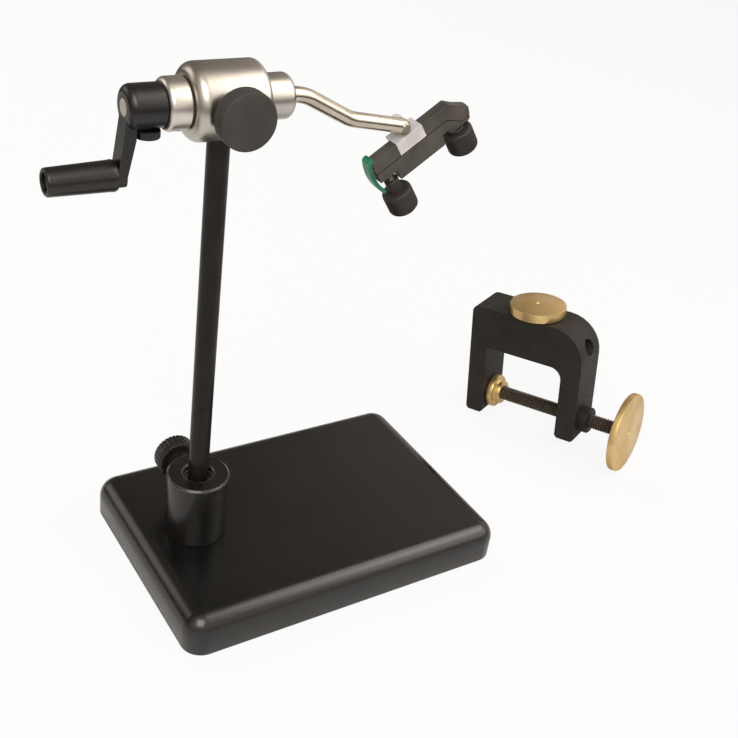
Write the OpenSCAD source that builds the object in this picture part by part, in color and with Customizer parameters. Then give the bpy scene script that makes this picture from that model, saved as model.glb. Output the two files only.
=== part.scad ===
// Rotary fly tying vise on a pedestal base, with its C-clamp standing beside it.
// The origin is on the table, on the axis of the stem. X runs along the base towards the
// jaws, Y runs to the back, Z is up. All lengths are millimetres.

/* [Base] */
// Length of the base plate
base_len = 172; // [150:1:200]
// Width of the base plate
base_wid = 118; // [100:1:140]
// Height of the base plate
base_h = 19.5; // [18:0.5:26]
// Distance from the left end of the base to the stem
base_left = 29.5; // [26:0.5:40]
// Distance from the front of the base to the stem
base_front = 61.5; // [45:0.5:70]
// Radius of the upright corners of the base
base_corner_r = 10; // [9.5:0.5:14]
// Radius round the top edge of the base
base_edge_r = 9; // [2:0.5:9]

/* [Collar] */
// Diameter of the collar that holds the stem
collar_d = 29.4; // [25:0.2:34]
// Height of the collar above the base
collar_h = 33.3; // [31:0.1:42]
// Bevel round the collar's ends
collar_bevel = 1.1; // [0.4:0.1:2]
// Thickness of the metal under the stem socket
collar_floor = 9.3; // [8:0.1:12]
// Diameter of the wide mouth of the socket
collar_mouth_d = 14.2; // [12:0.2:18]
// Depth of the wide mouth
collar_mouth_h = 3; // [1:0.5:5]
// Diameter of the bolt that comes up through the base
bolt_d = 8; // [6:1:8]
// Diameter of the bolt's head
bolt_head_d = 13; // [11:0.5:14]
// Height of the bolt's head
bolt_head_h = 7; // [5:0.5:7.5]
// Depth of the pocket for the bolt's head
bolt_pocket_h = 8.5; // [8.5:0.5:10]

/* [Collar lock] */
// Diameter of the collar lock knob
collar_knob_d = 20; // [16:0.5:24]
// Thickness of the knob's rim
collar_knob_h = 8.5; // [6:0.5:10]
// Diameter of the knob's outer boss
collar_knob_boss_d = 13; // [10:0.5:13.5]
// Height of the knob's outer boss
collar_knob_boss_h = 2.5; // [1:0.5:5]
// Diameter of the knob's neck
collar_knob_neck_d = 11.5; // [9:0.5:13]
// Length of the knob's neck
collar_knob_neck_h = 5.5; // [3:0.5:7]
// Diameter of the collar lock screw
collar_screw_d = 5; // [4:0.5:6]
// Distance from the collar's top down to the lock screw
collar_screw_drop = 8; // [8:0.5:12]

/* [Stem] */
// Diameter of the stem
stem_d = 9.5; // [8:0.1:10]
// Length of the stem
stem_len = 198; // [160:1:240]
// Height of the stem's end above the floor of the socket
stem_lift = 1.5; // [1.3:0.1:4]

/* [Housing] */
// Diameter of the barrel
barrel_d = 30.4; // [28:0.2:34]
// Length of the barrel behind the stem
barrel_back = 15.2; // [13.8:0.2:18]
// Length of the barrel in front of the stem
barrel_fwd = 15.8; // [13:0.2:17]
// Radius round the barrel's rear edge
barrel_back_r = 4.6; // [2:0.2:5]
// Radius round the barrel's front edge
barrel_fwd_r = 3.2; // [1.6:0.2:4.4]
// Diameter of the front neck
neck_d = 18.4; // [16:0.2:20]
// Length of the front neck
neck_len = 13.2; // [12:0.2:14]
// Radius round the neck's front edge
neck_r = 2.8; // [1:0.2:3.6]
// How deep the stem goes into the housing
stem_grip = 10; // [8:0.5:10.5]
// Outer diameter of the two bushes
bush_d = 10; // [9:0.5:10]
// Length of each bush
bush_len = 9; // [6:0.5:9]
// How far the front bush sits inside the neck's end
bush_inset = 1.6; // [1.3:0.1:2.5]
// Diameter of the relief bore between the bushes
relief_d = 7.6; // [7.2:0.2:8]
// Diameter of the boss that carries the lock screw
boss_d = 13; // [11:0.5:15]
// How far the boss stands out past the barrel
boss_h = 0.8; // [0.5:0.1:2]
// Diameter of the grub screws in the housing and in the thrust collar
grub_d = 4; // [3:0.5:5]

/* [Rotary shaft] */
// Diameter of the rotary shaft
shaft_d = 6.6; // [6:0.1:7]
// Where the first bend starts, in front of the stem
bend_start = 31; // [30.8:0.2:36]
// Radius of the bends
bend_r = 20; // [12:0.5:24]
// How far down the first bend turns the shaft, in degrees
bend_down = 27.5; // [24:0.5:36]
// Slope of the last straight run, in degrees
last_slope = 11; // [2:1:15]
// Length of the straight run between the bends
mid_run = 18.95; // [12:0.05:24]
// Length of the last straight run, to the jaw pivot
last_run = 25.25; // [24:0.05:36]
// Diameter of the thrust collar behind the housing
thrust_d = 20.6; // [18:0.2:24]
// Length of the thrust collar
thrust_len = 8.8; // [6:0.2:12]
// Radius round the thrust collar's rear edge
thrust_r = 2.2; // [1:0.2:3]
// How far the thrust collar's grub screw is turned from straight down, in degrees
thrust_screw_turn = 25; // [0:5:60]
// Diameter of the dark thrust washer
washer_d = 19.2; // [16:0.2:24]
// Thickness of the thrust washer
washer_t = 0.5; // [0.4:0.1:1.2]
// Diameter of the snap ring on the shaft
snap_d = 8.8; // [8.4:0.1:9]
// Thickness of the snap ring
snap_t = 0.8; // [0.6:0.1:1]
// Depth of the groove for the snap ring
snap_groove = 0.5; // [0.3:0.1:0.7]

/* [Crank] */
// Diameter of the crank's hub
hub_d = 17; // [15:0.5:20]
// Length of the crank's hub
hub_len = 14.5; // [13:0.1:16]
// Radius round the hub's rear edge
hub_r = 3.2; // [1:0.2:3.6]
// Distance from the shaft's axis to the handle's axis
crank_throw = 26.4; // [24:0.2:34]
// How far the arm's end stands behind its root
arm_offset = 2.6; // [1:0.2:6]
// Width of the arm
arm_w = 7.6; // [7:0.2:10]
// How far the crank arm's round end reaches past the handle's axis
arm_drop = 1.2; // [0:0.1:2]
// Thickness of the arm
arm_t = 3.4; // [3:0.2:6]
// Diameter of the crank thumbscrew's head
thumb_d = 10.4; // [8:0.2:10.4]
// Height of the crank thumbscrew's head
thumb_h = 3.4; // [3:0.2:6]
// Diameter of the crank thumbscrew
thumb_screw_d = 4; // [3:0.5:4.5]
// Distance from the hub's front face to the crank thumbscrew
thumb_at = 5; // [5:0.1:5.2]
// Diameter of the handle at the arm
grip_in_d = 12.4; // [11:0.2:15]
// Diameter of the handle at its free end
grip_out_d = 11; // [10:0.2:13]
// Length of the handle
grip_len = 27.2; // [22:0.2:36]
// Bevel round the handle's ends
grip_bevel = 1; // [0.4:0.1:1.2]
// Diameter of the pin that the handle turns on
pin_d = 4; // [3:0.5:5]
// Diameter of the pin's head
pin_head_d = 6.6; // [6:0.2:7]
// Height of the pin's head
pin_head_h = 2.4; // [1.5:0.1:3.5]
// Depth of the recess for the pin's head
pin_recess_h = 4; // [3.9:0.1:6]

/* [Lock knob] */
// Diameter of the large lock knob
lock_d = 23.4; // [20:0.2:26]
// Thickness of the lock knob
lock_h = 7.4; // [5:0.2:10]
// Bevel round the lock knob's face
lock_bevel = 0.9; // [0.4:0.1:1.6]
// Diameter of the lock knob's neck
lock_neck_d = 10.5; // [9:0.5:12]
// Length of the lock knob's neck
lock_neck_h = 1.2; // [1:0.1:6]
// Diameter of the lock screw
lock_screw_d = 6; // [5:0.5:6]
// Diameter of the soft plug that presses on the shaft
plug_d = 5; // [4:0.5:5]
// Thickness of the soft plug
plug_t = 3; // [2:0.5:4]

/* [Jaws] */
// Slope of the jaws, in degrees
jaw_slope = 34; // [24:1:45]
// Width of both jaws
jaw_w = 5.4; // [5:0.2:7]
// Height of the upper jaw's bar
upper_h = 6.4; // [6:0.1:7]
// Distance from the pivot to the rear end of the jaws
jaw_back = 21; // [20:0.5:24]
// Distance from the pivot to the root of the beak
beak_root = 22; // [21.5:0.1:22.5]
// Width of the beak's tip
beak_tip_w = 2; // [1.4:0.2:3]
// Gap between the two jaws
jaw_gap = 0.6; // [0.5:0.1:0.8]
// Height of the thick middle of the lower jaw
lower_h = 10; // [8:0.5:12]
// Height of the lower jaw's thin ends
tongue_h = 4.7; // [4:0.1:5.2]
// Distance from the pivot back to the end of the lower jaw's thick middle
lower_back = 11.7; // [10:0.1:12]
// Distance from the pivot forward to the end of the thick middle
lower_fwd = 13.6; // [12:0.1:14]
// Length of the bare saddle that carries the jaws
saddle_len = 14.4; // [13:0.2:16]
// Thickness of the saddle's near cheek
cheek_t = 2; // [1.6:0.1:2.2]
// Thickness of the saddle's bridge over the jaw
bridge_t = 1.6; // [1.2:0.1:2]
// Thickness of the saddle's ear
ear_t = 2.6; // [2:0.2:4]
// Radius of the ear's round top
ear_r = 3.2; // [2.4:0.1:4]
// Diameter of the pivot screw
pivot_d = 2.6; // [2:0.1:3]
// Diameter of the pivot screw's head
pivot_head_d = 4.4; // [4:0.1:4.8]
// Height of the pivot screw's head
pivot_head_h = 1.2; // [0.8:0.1:1.4]
// Diameter of the two screws that hold the saddle to the jaw
saddle_screw_d = 2; // [1.6:0.1:2.2]
// Thickness of the green tail clip
clip_t = 1.8; // [1.2:0.1:2.4]
// Length of the clip's bow
clip_len = 17; // [15:0.5:18]
// How far the clip bows out behind the jaws
clip_bow = 1.7; // [1.4:0.1:2.4]
// How far the clip leans in under the jaws, in degrees
clip_lean = 3; // [0:1:4]
// Length of the lip that hooks over the upper jaw
clip_lip = 1.5; // [1:0.5:5]

/* [Jaw screws] */
// Diameter of the two jaw knobs
jaw_knob_d = 14; // [12:0.2:14.4]
// Height of the jaw knobs
jaw_knob_h = 11.4; // [9:0.2:13]
// Radius round the jaw knobs' ends
jaw_knob_r = 2; // [0.6:0.1:2.6]
// Diameter of both jaw screws
jaw_screw_d = 3.8; // [3:0.1:3.9]
// Distance from the pivot back to the rear screw
rear_screw_at = 15.4; // [15:0.1:16.5]
// Length of the front knob's neck
front_neck_h = 1; // [0.8:0.1:3]
// Diameter of the front knob's neck
front_neck_d = 7; // [5.5:0.5:7.5]
// Space between the lower jaw's tail and the rear knob
rear_gap = 9.8; // [9:0.1:12]
// Length of the rear knob's neck
rear_neck_h = 6.5; // [2:0.5:7]
// Diameter of the rear knob's neck
rear_neck_d = 6.6; // [5:0.2:6.8]

/* [Clamp] */
// Length of the clamp's frame along its screw
clamp_len = 72; // [66:1:84]
// Thickness of the clamp's frame
clamp_t = 25; // [22:1:30]
// Height of the spine that holds the stem
spine_h = 25.5; // [22:0.5:30]
// Distance from the spine's inner face to the screw
throat = 34; // [28:0.5:44]
// Distance from the screw to the ends of the arms
arm_end = 11; // [10.5:0.5:14]
// Thickness of the fixed arm
fixed_arm_t = 11; // [9:0.5:14]
// Thickness of the arm that carries the screw
screw_arm_t = 12; // [10:0.5:16]
// Bevel at the arms' ends
arm_bevel = 1.5; // [0.5:0.5:3]
// Radius of the spine's corner over the screw arm
spine_r = 20; // [10:1:22]
// Radius of the spine's other corner
heel_r = 4; // [2:0.5:8]
// Radius of the window's corner beside the screw arm
window_r = 7; // [3:0.5:10]
// Diameter of the boss round the screw
clamp_boss_d = 15.5; // [12.5:0.5:19]
// Length of the boss past the screw arm
clamp_boss_h = 5; // [2:0.5:8]
// Diameter of the clamp screw
clamp_screw_d = 8.5; // [7:0.5:9]
// Length of the clamp screw
clamp_screw_len = 84; // [82:1:94]
// Diameter of the clamp's pad
pad_d = 20; // [16:0.5:21]
// Thickness of the pad's rim
pad_t = 4; // [3:0.5:6]
// Diameter of the pad's hub
pad_hub_d = 14; // [12:0.5:15.5]
// Length of the pad's hub
pad_hub_h = 3.5; // [2:0.5:6]
// Diameter of the brass handle disc
disc_d = 47; // [36:1:52]
// Thickness of the brass handle disc
disc_t = 4; // [3:0.5:6]
// Diameter of the brass stem disc
stem_disc_d = 33; // [26:0.5:38]
// Thickness of the brass stem disc
stem_disc_t = 5.5; // [4:0.5:7]
// Bevel round both brass discs and the pad
disc_bevel = 0.6; // [0.2:0.1:1.2]
// Diameter of the stem disc's screw
stem_disc_screw_d = 6; // [5:0.5:7]
// Where the clamp's fixed arm stands, to the right of the stem
clamp_x = 222; // [205:1:250]
// Where the clamp's fixed arm stands, behind the stem
clamp_y = 62; // [50:1:90]
// Direction of the clamp's screw on the table, in degrees
clamp_turn = -66; // [-80:1:-50]

/* [Fits] */
// Radial clearance of turning and sliding fits
run_fit = 0.06; // [0.04:0.01:0.1]
// Gap between faces that pass each other
face_gap = 0.3; // [0.2:0.05:0.4]
// Gap between a screw's tip and what it presses on
tip_gap = 0.08; // [0.04:0.02:0.2]

/* [Hidden] */
$fn = 72;

// One overrun for every cut that has to break through a face
over = 1;
// Bevel on the ends of screws and pins
tip_bevel = 0.4;
// How far each straight run of the shaft stops short of its bends
joint_gap = 0.1;
// How much larger than the shaft the balls are that join its runs
joint_swell = 0.1;
// Segments in a rounded edge's quarter turn
arc_steps = 8;
// Width across a screw's hexagon socket, as a share of the screw's diameter
socket_share = 0.5;
// Diameter of a saddle screw's head, as a share of the screw's diameter
head_share = 1.7;
// Depth of a screw's hole in its knob, as a share of the knob's height
hole_share = 0.6;

// Heights and places along the stem and the rotary shaft
collar_top = base_h + collar_h;
bolt_top = base_h + collar_floor - collar_bevel;
stem_foot = base_h + collar_floor + stem_lift;
stem_top = stem_foot + stem_len;
axis_h = stem_top - stem_grip + barrel_d / 2;
collar_screw_h = collar_top - collar_screw_drop;
neck_front = barrel_fwd + neck_len;
thrust_front = -barrel_back - washer_t - 2 * tip_gap;
thrust_back = thrust_front - thrust_len;
hub_front = thrust_back - face_gap;
hub_back = hub_front - hub_len;
arm_back = hub_back - arm_offset;
arm_root_front = hub_front - thumb_at - thumb_d / 2 - face_gap;
grip_h = axis_h - crank_throw;
grip_start = arm_back - face_gap;
grip_end = grip_start - grip_len;
lock_seat = barrel_d / 2 + boss_h;
snap_at = neck_front - bush_inset + face_gap / 2;

// The jaw pivot, worked out along the bent shaft
mid_x = bend_start + bend_r * sin(bend_down);
mid_z = axis_h - bend_r * (1 - cos(bend_down));
low_x = mid_x + mid_run * cos(bend_down);
low_z = mid_z - mid_run * sin(bend_down);
last_x = low_x + bend_r * (sin(bend_down) - sin(last_slope));
last_z = low_z - bend_r * (cos(last_slope) - cos(bend_down));
pivot_x = last_x + last_run * cos(last_slope);
pivot_z = last_z - last_run * sin(last_slope);

// Heights in the jaws' own frame, with the pivot at zero
saddle_top = -shaft_d / 2 - face_gap;
upper_top = saddle_top - face_gap;
upper_low = upper_top - upper_h;
waist_top = saddle_top - bridge_t;
lower_top = upper_low - jaw_gap;
tongue_low = lower_top - tongue_h;
lower_low = lower_top - lower_h;
rear_knob_top = tongue_low - rear_gap;
ear_near = shaft_d / 2 + face_gap;
ear_far = ear_near + ear_t;

// The beak's outline in upper jaw heights, forward of its root and up from the bar's top
beak_top_shares = [[0, 0], [0.55, -0.55], [1.3, -1.05], [1.46, -1.48], [1.34, -1.98]];
beak_heel_share = [0.64, -2];
beak_rest_share = -0.52;
beak_toe_shares = [[1.32, -2.04], [1.24, -2.28], [1.02, -2.34]];
beak_seat_share = [-0.68, -2.24];
front_screw_share = 0.05;
front_tip_share = -0.6;
beak_heel = beak(beak_heel_share);
beak_seat = beak(beak_seat_share);
front_screw_at = beak_root + front_screw_share * upper_h;
front_tip = upper_top + front_tip_share * upper_h;
front_knob_top = beak_seat[1] - face_gap - front_neck_h;

// Places in the clamp's own frame: X along its screw, Z up from the arms' ends
clamp_h = arm_end + throat + spine_h;
bore_h = clamp_h - spine_h / 2;
pad_at = fixed_arm_t + face_gap;
screw_at = pad_at + pad_t;
disc_at = screw_at + clamp_screw_len - disc_t * hole_share;
clamp_tip = atan((disc_d / 2 - arm_end) / (disc_at + disc_bevel - arm_bevel));
clamp_z = -arm_bevel * sin(clamp_tip);

// Points along an arc about (cx, cy), from angle a0 to a1
function arc(cx, cy, r, a0, a1) = let (n = arc_steps * ceil(abs(a1 - a0) / 90))
    [for (i = [0 : n]) let (a = a0 + (a1 - a0) * i / n) [cx + r * cos(a), cy + r * sin(a)]];

// All points of a list but the first
function after_first(points) = [for (i = [1 : len(points) - 1]) points[i]];

// Half outline of a round bar whose lower edge is rounded by r1 and its upper edge by r2
function bar_outline(rad, len, r1, r2) = concat(
    [[0, 0]], arc(rad - r1, r1, r1, -90, 0), arc(rad - r2, len - r2, r2, 0, 90), [[0, len]]);

// Half outline of a round bar with bevels b1 below and b2 above
function bevel_outline(rad, len, b1, b2) = concat([[0, 0], [rad - b1, 0]],
    b1 > 0 ? [[rad, b1]] : [], b2 > 0 ? [[rad, len - b2]] : [], [[rad - b2, len], [0, len]]);

// A point of the beak in the jaws' own frame
function beak(share) = [beak_root + share[0] * upper_h, upper_top + share[1] * upper_h];

module along_x() { rotate([0, 90, 0]) children(); }
module along_back() { rotate([-90, 0, 0]) children(); }
module along_front() { rotate([90, 0, 0]) children(); }
module at_jaws() { translate([pivot_x, 0, pivot_z]) rotate([0, -jaw_slope, 0]) children(); }
module at_clamp() {
    translate([clamp_x, clamp_y, clamp_z]) rotate([0, 0, clamp_turn])
        rotate([0, -clamp_tip, 0]) children();
}

// A screw or pin of diameter d from z = 0 up, with bevelled ends
module rod(d, len) {
    rotate_extrude() polygon(bevel_outline(d / 2, len, tip_bevel, tip_bevel));
}

// A bored round piece from z = 0 up
module tube(d, bore, len, bevel) {
    difference() {
        rotate_extrude() polygon(bevel_outline(d / 2, len, bevel, bevel));
        translate([0, 0, -over]) cylinder(d = bore, h = len + 2 * over);
    }
}

// The hole for a screw or shaft of diameter d, from z = 0 up
module hole(d, deep) {
    translate([0, 0, -over]) cylinder(d = d + 2 * run_fit, h = deep + over);
}

// A grub screw from z = 0 up, with a hexagon socket in its outer end
module grub(len) {
    difference() {
        rod(grub_d, len);
        translate([0, 0, len / 2])
            cylinder(d = grub_d * socket_share / cos(30), h = len, $fn = 6);
    }
}

// An outline drawn in X and Z, as thick as wid and centred on Y
module slab(wid) {
    translate([0, wid / 2, 0]) rotate([90, 0, 0]) linear_extrude(wid) children();
}

module base_bar(len, wid) {
    rotate([90, 0, 90]) linear_extrude(len) polygon(concat([[0, 0], [wid, 0]],
        arc(wid - base_edge_r, base_h - base_edge_r, base_edge_r, 0, 90),
        arc(base_edge_r, base_h - base_edge_r, base_edge_r, 90, 180)));
}
module base_plate() {
    inner_len = base_len - 2 * base_corner_r;
    inner_wid = base_wid - 2 * base_corner_r;
    color("#3a3633") difference() {
        translate([-base_left, -base_front, 0]) union() {
            translate([base_corner_r, 0, 0]) base_bar(inner_len, base_wid);
            translate([base_len, base_corner_r, 0]) rotate([0, 0, 90])
                base_bar(inner_wid, base_len);
            for (c = [[0, 0, 180], [1, 0, 270], [1, 1, 0], [0, 1, 90]])
                translate([base_corner_r + c[0] * inner_len, base_corner_r + c[1] * inner_wid, 0])
                    rotate([0, 0, c[2]]) rotate_extrude(angle = 90) polygon(concat(
                        [[0, 0], [base_corner_r, 0]],
                        arc(base_corner_r - base_edge_r, base_h - base_edge_r, base_edge_r, 0, 90),
                        [[0, base_h]]));
        }
        hole(bolt_d, base_h + over);
        hole(bolt_head_d + 2 * face_gap, bolt_pocket_h);
    }
}

module stem_collar() {
    bore_r = stem_d / 2 + run_fit;
    rad = collar_d / 2;
    color("#38342f") difference() {
        translate([0, 0, base_h]) rotate_extrude() polygon([
            [0, 0], [rad - collar_bevel / 2, 0], [rad, collar_bevel / 2],
            [rad, collar_h - collar_bevel], [rad - collar_bevel, collar_h],
            [collar_mouth_d / 2 + collar_bevel / 2, collar_h],
            [collar_mouth_d / 2, collar_h - collar_bevel / 2],
            [collar_mouth_d / 2, collar_h - collar_mouth_h], [bore_r, collar_h - collar_mouth_h],
            [bore_r, collar_floor], [0, collar_floor]]);
        translate([0, 0, base_h]) hole(bolt_d, bolt_top - base_h);
        translate([0, 0, collar_screw_h]) along_back() hole(collar_screw_d, collar_d);
    }
}
module collar_bolt() {
    head_low = bolt_pocket_h - bolt_head_h;
    color("#55524e") translate([0, 0, head_low]) difference() {
        union() {
            rod(bolt_d, bolt_top - tip_gap - head_low);
            rotate_extrude() polygon(bevel_outline(bolt_head_d / 2, bolt_head_h, tip_bevel, 0));
        }
        translate([0, 0, -over])
            cylinder(d = bolt_head_d * socket_share / cos(30), h = bolt_head_h / 2 + over, $fn = 6);
    }
}
module collar_lock_screw() {
    start = stem_d / 2 + tip_gap;
    knob = collar_d / 2 + face_gap + collar_knob_neck_h;
    color("#4a4744") translate([0, start, collar_screw_h]) along_back()
        rod(collar_screw_d, knob + collar_knob_h * hole_share - start);
}
module collar_lock_knob() {
    rim = collar_knob_d / 2;
    top = collar_knob_neck_h + collar_knob_h;
    boss = collar_knob_boss_d / 2;
    color("#332f2b") translate([0, collar_d / 2 + face_gap, collar_screw_h]) along_back()
        difference() {
            rotate_extrude() polygon([[0, 0], [collar_knob_neck_d / 2, 0],
                [collar_knob_neck_d / 2, collar_knob_neck_h],
                [rim - collar_bevel, collar_knob_neck_h], [rim, collar_knob_neck_h + collar_bevel],
                [rim, top - collar_bevel], [rim - collar_bevel, top], [boss, top],
                [boss - collar_bevel / 2, top + collar_knob_boss_h],
                [0, top + collar_knob_boss_h]]);
            hole(collar_screw_d, collar_knob_neck_h + collar_knob_h * hole_share + tip_gap);
        }
}
module stem() {
    color("#2f2b28") translate([0, 0, stem_foot]) rod(stem_d, stem_len);
}

module housing() {
    color("#c4c1ba") difference() {
        union() {
            translate([-barrel_back, 0, axis_h]) along_x() rotate_extrude() polygon(
                bar_outline(barrel_d / 2, barrel_back + barrel_fwd, barrel_back_r, barrel_fwd_r));
            translate([0, 0, axis_h]) along_x()
                rotate_extrude() polygon(bar_outline(neck_d / 2, neck_front, neck_r, neck_r));
            translate([0, 0, axis_h]) along_front()
                rotate_extrude() polygon(bevel_outline(boss_d / 2, lock_seat, 0, tip_bevel));
        }
        translate([-barrel_back - over, 0, axis_h]) along_x()
            cylinder(d = relief_d, h = barrel_back + neck_front + 2 * over);
        translate([-barrel_back, 0, axis_h]) along_x() hole(bush_d, bush_len + tip_gap);
        translate([neck_front, 0, axis_h]) rotate([0, -90, 0]) hole(bush_d, bush_inset + bush_len);
        translate([0, 0, axis_h - barrel_d / 2]) hole(stem_d, stem_grip + tip_gap);
        translate([0, 0, axis_h]) along_front() hole(lock_screw_d, lock_seat + over);
        translate([0, 0, stem_top - stem_grip / 2]) along_back() hole(grub_d, barrel_d / 2);
    }
}
module bush(x) {
    translate([x, 0, axis_h]) along_x() tube(bush_d, shaft_d + 2 * run_fit, bush_len, tip_bevel);
}
module rear_bush() { color("#a9854a") bush(tip_gap - barrel_back); }
module front_bush() { color("#a9854a") bush(neck_front - bush_inset - bush_len); }
module housing_grub_screw() {
    start = stem_d / 2 + tip_gap;
    reach = sqrt(pow(barrel_d / 2, 2) - pow(barrel_d / 2 - stem_grip / 2, 2));
    color("#4a4744") translate([0, start, stem_top - stem_grip / 2]) along_back()
        grub(reach - grub_d / 4 - start);
}

module lock_plug() {
    color("#b08d4f") translate([0, -shaft_d / 2 - tip_gap, axis_h]) along_front()
        cylinder(d = plug_d, h = plug_t);
}
module lock_screw() {
    start = shaft_d / 2 + plug_t + 2 * tip_gap;
    knob = lock_seat + face_gap + lock_neck_h;
    color("#4a4744") translate([0, -start, axis_h]) along_front()
        rod(lock_screw_d, knob + lock_h * hole_share - start);
}
module lock_knob() {
    rim = lock_d / 2;
    top = lock_neck_h + lock_h;
    color("#2f2c29") translate([0, -lock_seat - face_gap, axis_h]) along_front() difference() {
        rotate_extrude() polygon([[0, 0], [lock_neck_d / 2, 0], [lock_neck_d / 2, lock_neck_h],
            [rim - lock_bevel / 2, lock_neck_h], [rim, lock_neck_h + lock_bevel / 2],
            [rim, top - lock_bevel], [rim - lock_bevel, top], [0, top]]);
        hole(lock_screw_d, lock_neck_h + lock_h * hole_share + tip_gap);
    }
}

// A straight run of the shaft, with small gaps that the balls at its ends fill
module run(len) {
    translate([0, 0, joint_gap]) cylinder(d = shaft_d, h = len - 2 * joint_gap);
}
// A bent stretch of the shaft, about a centre in the plane of X and Z
module bend(x, z, start, turn) {
    translate([x, 0, z]) rotate([90, 0, 0]) rotate([0, 0, start])
        rotate_extrude(angle = turn) translate([bend_r, 0]) circle(d = shaft_d);
}
module rotary_shaft() {
    rad = shaft_d / 2;
    color("#b9b2a4") difference() {
        union() {
            translate([hub_back, 0, axis_h]) along_x() run(bend_start - hub_back);
            bend(bend_start, axis_h - bend_r, 90 - bend_down, bend_down);
            translate([mid_x, 0, mid_z]) rotate([0, 90 + bend_down, 0]) run(mid_run);
            bend(low_x + bend_r * sin(bend_down), low_z + bend_r * cos(bend_down),
                270 - bend_down, bend_down - last_slope);
            translate([last_x, 0, last_z]) rotate([0, 90 + last_slope, 0])
                rotate_extrude() polygon(concat([[0, joint_gap], [rad, joint_gap]],
                    arc(0, last_run, rad, 0, 90)));
            for (c = [[bend_start, axis_h], [mid_x, mid_z], [low_x, low_z], [last_x, last_z]])
                translate([c[0], 0, c[1]]) sphere(d = shaft_d + joint_swell);
        }
        translate([pivot_x, -shaft_d / 2, pivot_z]) along_back() hole(pivot_d, shaft_d + over);
        translate([pivot_x, -shaft_d / 2, pivot_z]) along_back()
            hole(pivot_head_d, pivot_head_h + tip_gap);
        translate([snap_at - tip_gap, 0, axis_h]) along_x()
            tube(snap_d, shaft_d - 2 * snap_groove, snap_t + 2 * tip_gap, 0);
    }
}
module thrust_washer() {
    color("#3a2f28") translate([thrust_front + tip_gap, 0, axis_h]) along_x()
        tube(washer_d, shaft_d + 2 * run_fit, washer_t, 0);
}
module thrust_collar() {
    color("#c9c4ba") translate([thrust_back, 0, axis_h]) difference() {
        along_x() rotate_extrude() polygon(
            bar_outline(thrust_d / 2, thrust_len, thrust_r, tip_bevel));
        along_x() hole(shaft_d, thrust_len + over);
        translate([thrust_len / 2, 0, 0]) rotate([180 - thrust_screw_turn, 0, 0])
            hole(grub_d, thrust_d / 2 + over);
    }
}
module thrust_grub_screw() {
    start = shaft_d / 2 + tip_gap;
    color("#a58a5c") translate([thrust_back + thrust_len / 2, 0, axis_h])
        rotate([180 - thrust_screw_turn, 0, 0]) translate([0, 0, start])
            grub(thrust_d / 2 - 2 * tip_bevel - start);
}
module snap_ring() {
    color("#6b6762") translate([snap_at, 0, axis_h]) along_x() difference() {
        tube(snap_d, shaft_d - 2 * snap_groove + 2 * run_fit, snap_t, 0);
        translate([0, -shaft_d / 4, -over]) cube([snap_d, shaft_d / 2, snap_t + 2 * over]);
    }
}

module crank_arm() {
    half = arm_w / 2;
    color("#3b3631") difference() {
        union() {
            translate([hub_back, 0, axis_h]) along_x() rotate_extrude() polygon(
                bar_outline(hub_d / 2, hub_len, hub_r, tip_bevel));
            intersection() {
                slab(hub_d) polygon([[hub_back, axis_h], [hub_back, axis_h - half],
                    [arm_back, grip_h + half], [arm_back, grip_h - arm_w],
                    [arm_back + arm_t, grip_h - arm_w], [arm_back + arm_t, grip_h],
                    [arm_root_front, axis_h - hub_d / 2 - thumb_h], [arm_root_front, axis_h]]);
                translate([arm_back - over, 0, grip_h]) rotate([90, 0, 90])
                    linear_extrude(arm_root_front - arm_back + 2 * over) polygon(concat(
                        arc(0, -arm_drop, half, 180, 360), [[half, hub_d + crank_throw],
                        [-half, hub_d + crank_throw]]));
            }
        }
        translate([hub_back, 0, axis_h]) along_x() hole(shaft_d, hub_len + over);
        translate([arm_back, 0, grip_h]) along_x() hole(pin_d, arm_t + over);
        translate([hub_front - thumb_at, 0, axis_h]) rotate([180, 0, 0])
            hole(thumb_screw_d, hub_d / 2 + over);
    }
}
module crank_screw() {
    start = shaft_d / 2 + tip_gap;
    color("#4a4744") translate([hub_front - thumb_at, 0, axis_h - start]) rotate([180, 0, 0])
        rod(thumb_screw_d, hub_d / 2 + face_gap + thumb_h * hole_share - start);
}
module crank_thumb_knob() {
    color("#2f2b29") translate([hub_front - thumb_at, 0, axis_h - hub_d / 2 - face_gap])
        rotate([180, 0, 0]) difference() {
            rod(thumb_d, thumb_h);
            hole(thumb_screw_d, thumb_h * hole_share + tip_gap);
        }
}
module handle_pin() {
    head_at = grip_end + pin_recess_h - pin_head_h;
    color("#8d8981") translate([head_at, 0, grip_h]) along_x() union() {
        rod(pin_d, arm_back + arm_t - head_at);
        rod(pin_head_d, pin_head_h - tip_gap);
    }
}
module handle_grip() {
    thin = grip_out_d / 2;
    thick = grip_in_d / 2;
    color("#46423d") translate([grip_end, 0, grip_h]) along_x() difference() {
        rotate_extrude() polygon([[0, 0], [thin - grip_bevel, 0], [thin, grip_bevel],
            [thick, grip_len - grip_bevel], [thick - grip_bevel, grip_len], [0, grip_len]]);
        hole(pin_d, grip_len + over);
        hole(pin_head_d + 2 * face_gap, pin_recess_h);
    }
}

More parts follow.
